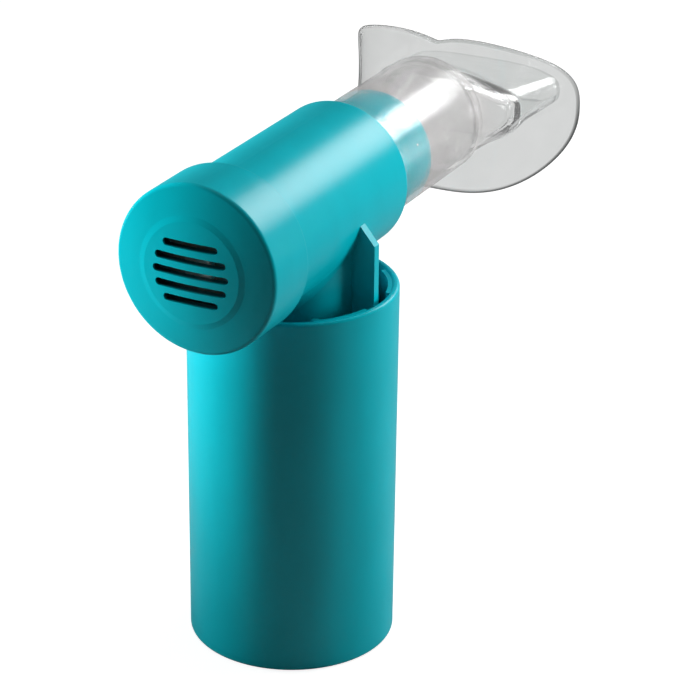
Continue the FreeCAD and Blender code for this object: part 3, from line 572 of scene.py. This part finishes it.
class MouthpieceForm:
    """Formulas of the mouthpiece, each worked out for whole rows of points.

    Every point has a place round the barrel's axis, an angle whose sine is its side and whose
    cosine is its height. A section is a soft rectangle, |y/W|^p + |z/H|^p = 1: the power is 2 in
    the round socket and grows along the neck, and the flange's outline has one with a notch on
    top. The flange is the sheet x = place + sweep (y/W)^4 - lean (z/H)^2.

    Each wall is its rows of points, how frosted they are and how much painted rim shade they take."""

    columns = 256
    face_rows = 34
    edge_rows = 12
    flange_power = 2.65
    neck_power = 3.0

    # Further lengths of the moulding, how frosted some parts of it are, and how much painted rim
    # shade the tip takes.
    socket_length = 0.0505
    lip_rounding = 0.0005
    shoulder_rounding = 0.0012
    notch_rounding = 0.0008
    neck_eases_before = 0.001
    neck_eases_past = 0.002
    sheet_ahead = 0.00085
    bead_reach = 0.0016
    bore_frost = 0.9
    tongue_frost = 0.05
    tip_rim = 0.25

    def __init__(self, size):
        self.size = size
        self.rear = size.socket_end - self.socket_length
        self.tip_rounding = size.neck_wall / 2
        self.last = size.tip_end - self.tip_rounding
        angle = np.linspace(0.0, FULL_TURN, self.columns, endpoint=False)
        self.side = np.sin(angle)
        self.rise = np.cos(angle)

    def section(self, half_width, half_height, power):
        """y and z of soft rectangles: sizes and power broadcast against the columns."""
        reach = (np.abs(self.side) ** power + np.abs(self.rise) ** power) ** (-1 / power)
        return half_width * self.side * reach, half_height * self.rise * reach

    def ring(self, x, half_width, half_height, power=2.0):
        """Rows of sections at x."""
        y, z = self.section(half_width, half_height, power)
        return np.stack([x + 0 * y, y, z], axis=-1)

    def turned(self, profile):
        """Rows of circles from (x, radius) pairs."""
        pairs = np.asarray(profile)
        return self.ring(pairs[:, 0:1], pairs[:, 1:2], pairs[:, 1:2])

    def neck(self, x):
        """Half width, half height and power of the neck's and tongue's section at x.

        They ease from the socket's circle to the flange and then run straight to the tip."""
        s = self.size
        flat_x = s.flange_place + self.neck_eases_past
        near = ease(s.socket_end - self.neck_eases_before, flat_x, x)
        far = np.clip((x - flat_x) / (s.tip_end - flat_x), 0.0, None)
        start = s.socket_radius - s.shoulder_step
        width = start + (s.neck_half_width - start) * near
        width = width + (s.tip_half_width - s.neck_half_width) * far
        height = start + (s.neck_half_height - start) * near
        height = height + (s.tip_half_height - s.neck_half_height) * far
        return width, height, 2.0 + (self.neck_power - 2.0) * near

    def sheet(self, y, z):
        """x of the flange's middle surface."""
        s = self.size
        return (s.flange_place + self.sheet_ahead + s.flange_sweep * (y / s.flange_half_width) ** 4
                - s.flange_lean * (z / s.flange_half_height) ** 2)

    def outline(self):
        """Edge of the flange, inside by half its bead: y and z for each column.

        The notch is depth times e^(-|y| / width), with its foot rounded."""
        s = self.size
        y, z = self.section(s.flange_half_width - s.bead / 2, s.flange_half_height - s.bead / 2,
                            self.flange_power)
        notch = s.notch_depth * np.exp(-np.hypot(y, self.notch_rounding) / s.notch_width)
        return y, z - np.where(self.rise > 0, notch, 0.0)

    def junction(self, direction):
        """Where the neck meets one face of the flange, found by a few substitutions."""
        s = self.size
        x = np.full(self.columns, s.flange_place)
        for _ in range(12):
            y, z = self.section(*self.neck(x))
            x = self.sheet(y, z) + direction * (s.sheet / 2 + s.fillet)
        return x

    def face(self, direction):
        """One face of the flange, direction -1 or 1, from the neck out to the bead.

        It leaves the neck in a quarter round, and its rows lie closer there."""
        s = self.size
        y0, z0 = self.section(*self.neck(self.junction(direction)))
        y1, z1 = self.outline()
        part = (np.linspace(0.0, 1.0, self.face_rows) ** 1.6)[1:, None]
        y = y0 + (y1 - y0) * part
        z = z0 + (z1 - z0) * part
        reach = np.hypot(y - y0, z - z0)
        inner = np.clip(1 - reach / s.fillet, 0.0, 1.0)
        lift = s.fillet * (1 - np.sqrt(np.clip(1 - inner ** 2, 0.0, 1.0)))
        bead = (s.bead - s.sheet) / 2 * ease(self.bead_reach, 0.0, np.hypot(y1 - y, z1 - z))
        x = self.sheet(y, z) + direction * (s.sheet / 2 + lift + bead)
        return np.stack([x, y, z], axis=-1)

    def edge(self):
        """The half round of the flange's bead, from its rear to its front."""
        s = self.size
        y, z = self.outline()
        along_y = np.roll(y, -1) - np.roll(y, 1)
        along_z = np.roll(z, -1) - np.roll(z, 1)
        run = np.hypot(along_y, along_z)
        out_y = -along_z / run
        out_z = along_y / run
        facing = np.sign((out_y * y + out_z * z).sum())
        cosine, sine = arc(-90, 90, self.edge_rows)
        outward = cosine[1:-1, None]
        forward = sine[1:-1, None]
        x = self.sheet(y, z) + s.bead / 2 * forward
        y = y + facing * out_y * s.bead / 2 * outward
        z = z + facing * out_z * s.bead / 2 * outward
        # Painted shade across the bead: broad on its rear half, narrow towards its front.
        rim = np.where(forward < 0, outward ** 0.6, outward ** 2)[:, 0]
        return np.stack([x, y, z], axis=-1), 0.0, rim

    def socket_outside(self):
        """The collar with its rear lip and broken front edge, and the socket to its shoulder."""
        s = self.size
        lip = self.lip_rounding
        collar = s.socket_radius + s.collar_rise
        collar_end = self.rear + s.collar_length
        profile = rounded(self.rear + lip, collar - lip, lip, 180, 90, 7)
        profile += [(collar_end - 0.0004, collar), (collar_end, collar - 0.0002),
                    (collar_end + 0.0003, s.socket_radius + 0.0001),
                    (collar_end + 0.0007, s.socket_radius)]
        shoulder = self.shoulder_rounding
        straight = np.linspace(collar_end + 0.004, s.socket_end - shoulder, 12)
        profile += [(x, s.socket_radius) for x in straight]
        profile += rounded(s.socket_end - shoulder, s.socket_radius - shoulder, shoulder,
                           90, 10, 7)[1:]
        return self.turned(profile), 1.0, 0.0

    def neck_outside(self):
        """The neck from the socket to the flange, losing most of its frost on the way."""
        part = np.linspace(0.0, 1.0, 26)[1:, None]
        start = self.size.socket_end + 0.0002
        x = start + (self.junction(-1) - start) * part
        return self.ring(x, *self.neck(x)), 1.0 - 0.85 * part[:, 0], 0.0

    def tongue_outside(self):
        """The tongue from the flange to where its tip starts to round."""
        part = np.linspace(0.0, 1.0, 22)[:, None]
        x = self.junction(1) + (self.last - self.junction(1)) * part
        return self.ring(x, *self.neck(x)), self.tongue_frost, 0.0

    def tip(self):
        """The half round that turns the tongue's outside into its bore."""
        width, height, power = self.neck(np.array(self.last))
        cosine, sine = arc(90, -90, 11)
        ahead = self.tip_rounding * cosine[1:-1, None]
        outward = self.tip_rounding * sine[1:-1, None]
        rows = self.ring(self.last + ahead, width - self.tip_rounding + outward,
                         height - self.tip_rounding + outward, power)
        return rows, self.tongue_frost, self.tip_rim

    def flat_bore(self):
        """The bore back from the tip through tongue and neck."""
        s = self.size
        x = np.linspace(self.last, s.socket_end - s.neck_wall, 60)[:, None]
        width, height, power = self.neck(x)
        frost = self.bore_frost * (1 - ease(s.socket_end, s.flange_place, x[:, 0]))
        return self.ring(x, width - s.neck_wall, height - s.neck_wall, power), frost, 0.0

    def socket_inside(self):
        """The bevelled step at the neck's foot and the socket's bore, bevelled at the rear."""
        s = self.size
        step_x = s.socket_end - s.neck_wall
        profile = [(step_x - 0.0001, s.socket_bore - 0.0003), (step_x - 0.0004, s.socket_bore)]
        straight = np.linspace(step_x - 0.004, self.rear + 0.0006, 14)
        profile += [(x, s.socket_bore) for x in straight]
        profile += [(self.rear + 0.0002, s.socket_bore + 0.0001),
                    (self.rear, s.socket_bore + 0.0004)]
        return self.turned(profile), self.bore_frost, 0.0

    def rows(self):
        """All rows in order round the wall: points, and for each row its frost and its painted rim
        shade.
        """
        walls = [self.socket_outside(), self.neck_outside(), (self.face(-1), 0.0, 0.0),
                 self.edge(), (self.face(1)[::-1], 0.0, 0.0), self.tongue_outside(), self.tip(),
                 self.flat_bore(), self.socket_inside()]
        points = np.concatenate([wall for wall, _, _ in walls])
        frost = np.concatenate([np.broadcast_to(part, len(wall)) for wall, part, _ in walls])
        rim = np.concatenate([np.broadcast_to(part, len(wall)) for wall, _, part in walls])
        points[..., 2] += AXIS_HEIGHT
        return points, frost, rim


class TRAINER_OT_mouthpiece(bpy.types.Operator):
    """Make the clear silicone mouthpiece as one closed wall"""

    bl_idname = "trainer.mouthpiece"
    bl_label = "Mouthpiece"

    def execute(self, context):
        form = MouthpieceForm(settings("trainer_mouthpiece"))
        points, frost, rim = form.rows()
        piece = surface("silicone_mouthpiece", points, ring=True)
        keep_number(piece, "frost", np.repeat(frost, form.columns))
        keep_number(piece, "rim", np.repeat(rim, form.columns))
        dress(piece, "clear_silicone")
        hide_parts("mouthpiece")
        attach(piece, "mouthpiece")
        return {"FINISHED"}


def rolled_corner(stem, barrel, ball, columns, steps):
    """Closed ring in the corner where a cylinder stands up into a lying one.

    A ball rolls in that corner, so its centre is stem + ball from the one axis and barrel + ball
    from the other. The rows go along its arc from where it touches the stem to where it touches
    the barrel, and come back inside both walls."""
    sunk = 0.0006
    angle = np.linspace(0.0, FULL_TURN, columns, endpoint=False)
    round_stem = np.stack([np.cos(angle), np.sin(angle)], axis=-1)

    def under_barrel(reach, radius):
        """Points at one distance from the stem's axis and one from the barrel's, below it."""
        flat = reach * round_stem
        height = AXIS_HEIGHT - np.sqrt(radius ** 2 - flat[:, 1:] ** 2)
        return np.concatenate([flat, height], axis=1)

    centre = under_barrel(stem + ball, barrel + ball)
    to_stem = np.concatenate([-round_stem, np.zeros((columns, 1))], axis=1)
    to_barrel = (np.array([0.0, 0.0, AXIS_HEIGHT]) - centre * [0.0, 1.0, 1.0]) / (barrel + ball)
    between = np.arccos(np.einsum("ij,ij->i", to_stem, to_barrel))[None, :, None]
    part = np.linspace(0.0, 1.0, steps)[:, None, None]
    way = np.sin((1 - part) * between) * to_stem + np.sin(part * between) * to_barrel
    way = way / np.sin(between)
    behind = [centre + (ball + sunk) * to_barrel, under_barrel(stem - sunk, barrel - sunk),
              centre + (ball + sunk) * to_stem]
    return np.concatenate([centre + ball * way, np.stack(behind)])


class TRAINER_OT_stem_corner(bpy.types.Operator):
    """Make the rounded corner in which the stem runs up into the barrel"""

    bl_idname = "trainer.stem_corner"
    bl_label = "Stem corner"

    def execute(self, context):
        let_in = 0.00006
        points = rolled_corner(STEM_RADIUS - let_in, BARREL_RADIUS - let_in, CORNER_RADIUS,
                               columns=160, steps=12)
        piece = surface("stem_corner", points, ring=True)
        dress(piece, "teal_plastic")
        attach(piece, "main_body")
        return {"FINISHED"}


def coil_path(foot, top, wire, radius, turns):
    """Middle line of a compression spring between two heights.

    It goes round at one radius and rises by the sum of its pitch over the turns. The pitch is
    hardly more than the wire at both ends and eases to the open one about a turn from them. A
    quarter of the wire is ground off at foot and top."""
    points_per_turn = 56
    closed_until, open_from = 0.65, 1.35
    closed_pitch = wire * 1.02
    ground = wire * 0.25
    turn = np.linspace(0.0, turns, int(turns * points_per_turn))
    step = turn[1] - turn[0]
    opened = ease(closed_until, open_from, turn) * ease(closed_until, open_from, turns - turn)
    height = top - foot - 2 * ground
    open_pitch = (height - turns * closed_pitch) / (opened.sum() * step)
    pitch = closed_pitch + open_pitch * opened
    rise = np.concatenate([[0.0], np.cumsum((pitch[1:] + pitch[:-1]) / 2 * step)])
    rise *= height / rise[-1]
    return polar(radius, FULL_TURN * turn + math.pi / 2, foot + ground + rise)


def swept_wire(path, radius, columns):
    """Rows of circles of one radius round the points of a path, square to it."""
    along = np.gradient(path, axis=0)
    along /= np.linalg.norm(along, axis=1)[:, None]
    outward = path * np.array([1.0, 1.0, 0.0])
    outward /= np.linalg.norm(outward, axis=1)[:, None]
    outward -= along * np.einsum("ij,ij->i", outward, along)[:, None]
    outward /= np.linalg.norm(outward, axis=1)[:, None]
    third = np.cross(along, outward)
    angle = np.linspace(0.0, FULL_TURN, columns, endpoint=False)
    return (path[:, None, :] + radius * (outward[:, None, :] * np.cos(angle)[None, :, None]
                                         + third[:, None, :] * np.sin(angle)[None, :, None]))


class TRAINER_OT_load_spring(bpy.types.Operator):
    """Make the load spring: a round wire on a helix whose end turns lie closed and ground flat"""

    bl_idname = "trainer.load_spring"
    bl_label = "Load spring"

    def execute(self, context):
        size = settings("trainer_mechanism")
        foot, top = spring_low.z, spring_high.z
        path = coil_path(foot, top, size.spring_wire, size.spring_radius, size.spring_turns)
        points = swept_wire(path, size.spring_wire / 2, columns=20)
        points[..., 2] = np.clip(points[..., 2], foot, top)
        piece = surface("coiled_load_spring", points)
        dress(piece, "steel")
        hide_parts("load_spring")
        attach(piece, "main_body")
        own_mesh(piece)
        return {"FINISHED"}


def threaded_rod(foot, top, outer, size):
    """Rows round the spindle, from the hole in its foot to the hole in its top.

    The radius is the outer one less the thread's depth times the groove. The groove is a trapezoid
    of the phase, starts (height / lead + angle / full turn), so the thread is left-handed. It runs
    out at both ends. The foot has a flat for the knob, and the top is a thinner journal."""
    starts, rows_per_groove = 2, 18
    groove_floor, flank_slope = 1.25, 4.2
    runs_out, runs_in = 0.0002, 0.0012
    bevel, shoulder_bevel = 0.0004, 0.0003
    flat_top, flat_depth = 0.0139, 0.0006
    shoulder, journal_radius = 0.0852, 0.0022
    hole_radius, hole_depth = 0.0013, 0.009

    shank = np.linspace(foot + 0.001, size.thread_foot - 0.001, 12)
    thread = np.arange(size.thread_foot, size.thread_top,
                       size.thread_lead / starts / rows_per_groove)
    upper = np.linspace(size.thread_top + 0.0005, shoulder - bevel, 20)
    z = np.concatenate([[foot, foot + bevel], shank, thread, upper])[:, None]
    angle = np.linspace(0.0, FULL_TURN, 72, endpoint=False)[None, :]
    phase = (z / size.thread_lead * starts + starts * angle / FULL_TURN) % 1.0
    groove = np.clip(groove_floor - np.abs(phase - 0.5) * flank_slope, 0.0, 1.0)
    cut = ease(size.thread_foot - runs_out, size.thread_foot + runs_in, z)
    cut = cut * ease(size.thread_top + runs_out, size.thread_top - runs_in, z)
    radius = outer - size.thread_depth * groove * cut
    radius[0] = outer - bevel
    body = polar(radius, angle, z)
    flattened = np.minimum(body[..., 0], outer - flat_depth)
    body[..., 0] = np.where(body[..., 2] < flat_top, flattened, body[..., 0])

    def circles(*pairs):
        """Rows of level circles."""
        return [polar(reach, angle, height) for reach, height in pairs]

    foot_hole = circles((hole_radius, foot + hole_depth), (hole_radius, foot))
    journal = circles((outer - shoulder_bevel, shoulder), (journal_radius, shoulder),
                      (journal_radius, top), (hole_radius, top), (hole_radius, top - hole_depth))
    return np.concatenate(foot_hole + [body] + journal)


class TRAINER_OT_spindle(bpy.types.Operator):
    """Make the spindle with its two-start left-hand thread cut into it"""

    bl_idname = "trainer.spindle"
    bl_label = "Threaded spindle"

    def execute(self, context):
        points = threaded_rod(spindle_low.z, spindle_high.z, spindle_high.y,
                              settings("trainer_mechanism"))
        piece = surface("threaded_spindle", points, smooth=False)
        dress(piece, "grey_plastic")
        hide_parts("spindle")
        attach(piece, "load_knob")
        return {"FINISHED"}


def flat_figure(text, height):
    """Mesh of a number of one height, lying at the origin."""
    size_for_height = 1.35
    half_thickness = 0.00012
    letters = bpy.data.curves.new("figure", "FONT")
    letters.body = text
    letters.size = height * size_for_height
    letters.extrude = half_thickness
    letters.resolution_u = 3
    shape = bpy.data.objects.new("figure", letters)
    bpy.context.scene.collection.objects.link(shape)
    bpy.context.view_layer.update()
    mesh = bpy.data.meshes.new_from_object(shape)
    bpy.data.objects.remove(shape)
    return mesh


def bend_round(mesh, radius, start, foot):
    """Bends a flat mesh round the Z axis: x runs along the circle, y up it and z out of it."""
    proud = 0.00008
    flat = np.zeros(len(mesh.vertices) * 3)
    mesh.vertices.foreach_get("co", flat)
    along, up, out = flat.reshape(-1, 3).T
    bent = polar(radius + proud + out, start + along / radius, foot + up)
    mesh.vertices.foreach_set("co", bent.ravel())
    mesh.update()


class TRAINER_OT_scale_figures(bpy.types.Operator):
    """Set plain figures beside the long marks of the load scale, bent round the cage"""

    bl_idname = "trainer.scale_figures"
    bl_label = "Scale figures"

    def execute(self, context):
        size = settings("trainer_mechanism")
        cage_radius = 0.0174
        pointer_side, past_marks = -90, 43.5
        start = math.radians(pointer_side + past_marks)
        travel = 0.022
        full_load = 10
        no_load = (pointer_low.z + pointer_high.z) / 2
        for number in (0, 5, full_load):
            mesh = flat_figure(str(number), size.figure_height)
            foot = no_load + travel * number / full_load - size.figure_height / 2
            bend_round(mesh, cage_radius, start, foot)
            piece = bpy.data.objects.new("scale_figure_%d" % number, mesh)
            context.scene.collection.objects.link(piece)
            dress(piece, "scale_ink")
            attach(piece, "main_body")
        return {"FINISHED"}


# Pieces whose inner walls get painted shade, and the function that says where it lies.
PAINTED_SHADE_MASKS = {"valve_cap": behind_face, "handle_cover": down_the_cup}


class TRAINER_OT_finishes(bpy.types.Operator):
    """Give every piece of the frame the finish of its material slot"""

    bl_idname = "trainer.finishes"
    bl_label = "Finishes"

    def execute(self, context):
        for part in frame["record"]["subparts"]:
            node = frame["nodes"].get(part["node"])
            if node is None:
                raise RuntimeError("the frame has no node " + part["node"])
            dress(node, part["material_slot"], PAINTED_SHADE_MASKS.get(part["node"]))
        return {"FINISHED"}


def background_shares(finish):
    """How much of the white background a ray sees, and whether it comes from within silicone.

    The camera sees all of it, gloss a little, and what passes into clear silicone most of it."""
    path = finish.node("ShaderNodeLightPath")
    direct = Term(finish, path.outputs["Is Camera Ray"])
    gloss = Term(finish, path.outputs["Is Glossy Ray"])
    through = Term(finish, path.outputs["Is Transmission Ray"])
    entered = Term(finish, path.outputs["Transmission Depth"]).clipped()
    within = (through + gloss * entered).clipped()
    outside_gloss = gloss * (1.0 - entered)
    return (direct + outside_gloss * GLOSS_SHARE + within * CLEAR_SHARE).clipped(), within


def floor_paper(lit, seen):
    """A floor that lights and takes shadow as it is, and looks paler to the eye.

    To the camera, and in gloss, a little light of its own is added. Clear silicone shows it as
    even as the background."""
    finish = Finish("floor_paper")
    watched, within = background_shares(finish)
    base = finish.blend(finish.noise(9.0, 2.0), tone(lit, 0.985), lit)
    matt = finish.node("ShaderNodeBsdfDiffuse", None, {"Color": base, "Roughness": 0.5}).outputs[0]
    glow = finish.node("ShaderNodeEmission", None, {"Color": seen, "Strength": watched}).outputs[0]
    both = finish.node("ShaderNodeAddShader", None, {0: matt, 1: glow}).outputs[0]
    even = finish.node("ShaderNodeEmission", None,
                       {"Color": WHITE, "Strength": CLEAR_SHARE}).outputs[0]
    return finish.done(finish.mixed(within, both, even))


def lay_floor(scene):
    """A wide pale floor just below the base, which it doesn't touch."""
    half = 4.0
    drop = 0.0003
    corners = [(x * half, y * half, -drop) for x, y in ((-1, -1), (1, -1), (1, 1), (-1, 1))]
    mesh = bpy.data.meshes.new("floor")
    mesh.from_pydata(corners, [], [(0, 1, 2, 3)])
    floor = bpy.data.objects.new("floor", mesh)
    scene.collection.objects.link(floor)
    paper = floor_paper(lit=(0.40, 0.40, 0.40), seen=(0.90, 0.90, 0.90))
    floor.data.materials.append(paper)


def even_world(ambient):
    """A world that lights with the ambient strength and shows itself white."""
    world = Finish("studio", bpy.data.worlds)
    watched, _ = background_shares(world)
    even, seen = (world.node("ShaderNodeBackground", None,
                             {"Color": WHITE, "Strength": strength}).outputs[0]
                  for strength in (ambient, 1.0))
    return world.done(world.mixed(watched, even, seen), "ShaderNodeOutputWorld")


def area_lamp(name, place, target, width, height, power, spread, in_gloss):
    """Soft rectangular lamp at a place, turned towards a target."""
    light = bpy.data.lights.new(name, "AREA")
    light.shape = "RECTANGLE"
    light.size = width
    light.size_y = height
    light.energy = power
    light.spread = math.radians(spread)
    lamp = bpy.data.objects.new(name, light)
    lamp.location = place
    lamp.rotation_euler = (Vector(target) - Vector(place)).to_track_quat("-Z", "Y").to_euler()
    lamp.visible_camera = False
    lamp.visible_glossy = in_gloss
    bpy.context.scene.collection.objects.link(lamp)


def view_turn(azimuth, elevation, roll):
    """Rotation of a camera that looks at the part from one side and height, turned by a roll."""
    back = Vector((math.sin(azimuth) * math.cos(elevation),
                   -math.cos(azimuth) * math.cos(elevation), math.sin(elevation)))
    right = Vector((math.cos(azimuth), math.sin(azimuth), 0.0))
    up = back.cross(right)
    turned_right = math.cos(roll) * right + math.sin(roll) * up
    turned_up = -math.sin(roll) * right + math.cos(roll) * up
    return Matrix((turned_right, turned_up, back)).transposed().to_4x4()


def set_camera(scene, studio):
    """Camera with the photo's place, direction and focal length."""
    lens = bpy.data.cameras.new("camera")
    lens.sensor_width = 36.0
    lens.lens = studio.lens
    lens.clip_start = 0.01
    lens.clip_end = 50.0
    camera = bpy.data.objects.new("camera", lens)
    turn = view_turn(studio.azimuth, studio.elevation, studio.roll)
    camera.matrix_world = Matrix.Translation(studio.camera_place) @ turn
    scene.collection.objects.link(camera)
    scene.camera = camera


class TRAINER_OT_studio(bpy.types.Operator):
    """Set up the pale floor, the soft lamps, the even background light and the camera"""

    bl_idname = "trainer.studio"
    bl_label = "Studio"

    def execute(self, context):
        studio = settings("trainer_studio")
        context.scene.view_settings.view_transform = "Standard"
        lay_floor(context.scene)
        context.scene.world = even_world(studio.ambient)
        for lamp in LAMPS:
            area_lamp(*lamp)
        set_camera(context.scene, studio)
        return {"FINISHED"}


class TRAINER_PT_panel(bpy.types.Panel):
    """Lists the steps that dress the trainer"""

    bl_label = "Trainer"
    bl_idname = "TRAINER_PT_panel"
    bl_space_type = "VIEW_3D"
    bl_region_type = "UI"
    bl_category = "Trainer"

    def draw(self, context):
        for step in STEPS:
            self.layout.operator(step.bl_idname)


GROUPS = {
    "trainer_mouthpiece": MouthpieceSizes,
    "trainer_mechanism": MechanismSizes,
    "trainer_colours": Colours,
    "trainer_studio": StudioSettings,
}
STEPS = [TRAINER_OT_finishes, TRAINER_OT_mouthpiece, TRAINER_OT_stem_corner,
         TRAINER_OT_load_spring, TRAINER_OT_spindle, TRAINER_OT_scale_figures, TRAINER_OT_studio]
CLASSES = [*GROUPS.values(), *STEPS, TRAINER_PT_panel]


def register():
    for kind in CLASSES:
        bpy.utils.register_class(kind)
    for name, group in GROUPS.items():
        setattr(bpy.types.Scene, name, bpy.props.PointerProperty(type=group))


def unregister():
    for name in GROUPS:
        delattr(bpy.types.Scene, name)
    for kind in reversed(CLASSES):
        bpy.utils.unregister_class(kind)


def main():
    """Runs every step."""
    register()
    for step in STEPS:
        area, name = step.bl_idname.split(".")
        getattr(getattr(bpy.ops, area), name)()


if __name__ == "__main__":
    main()
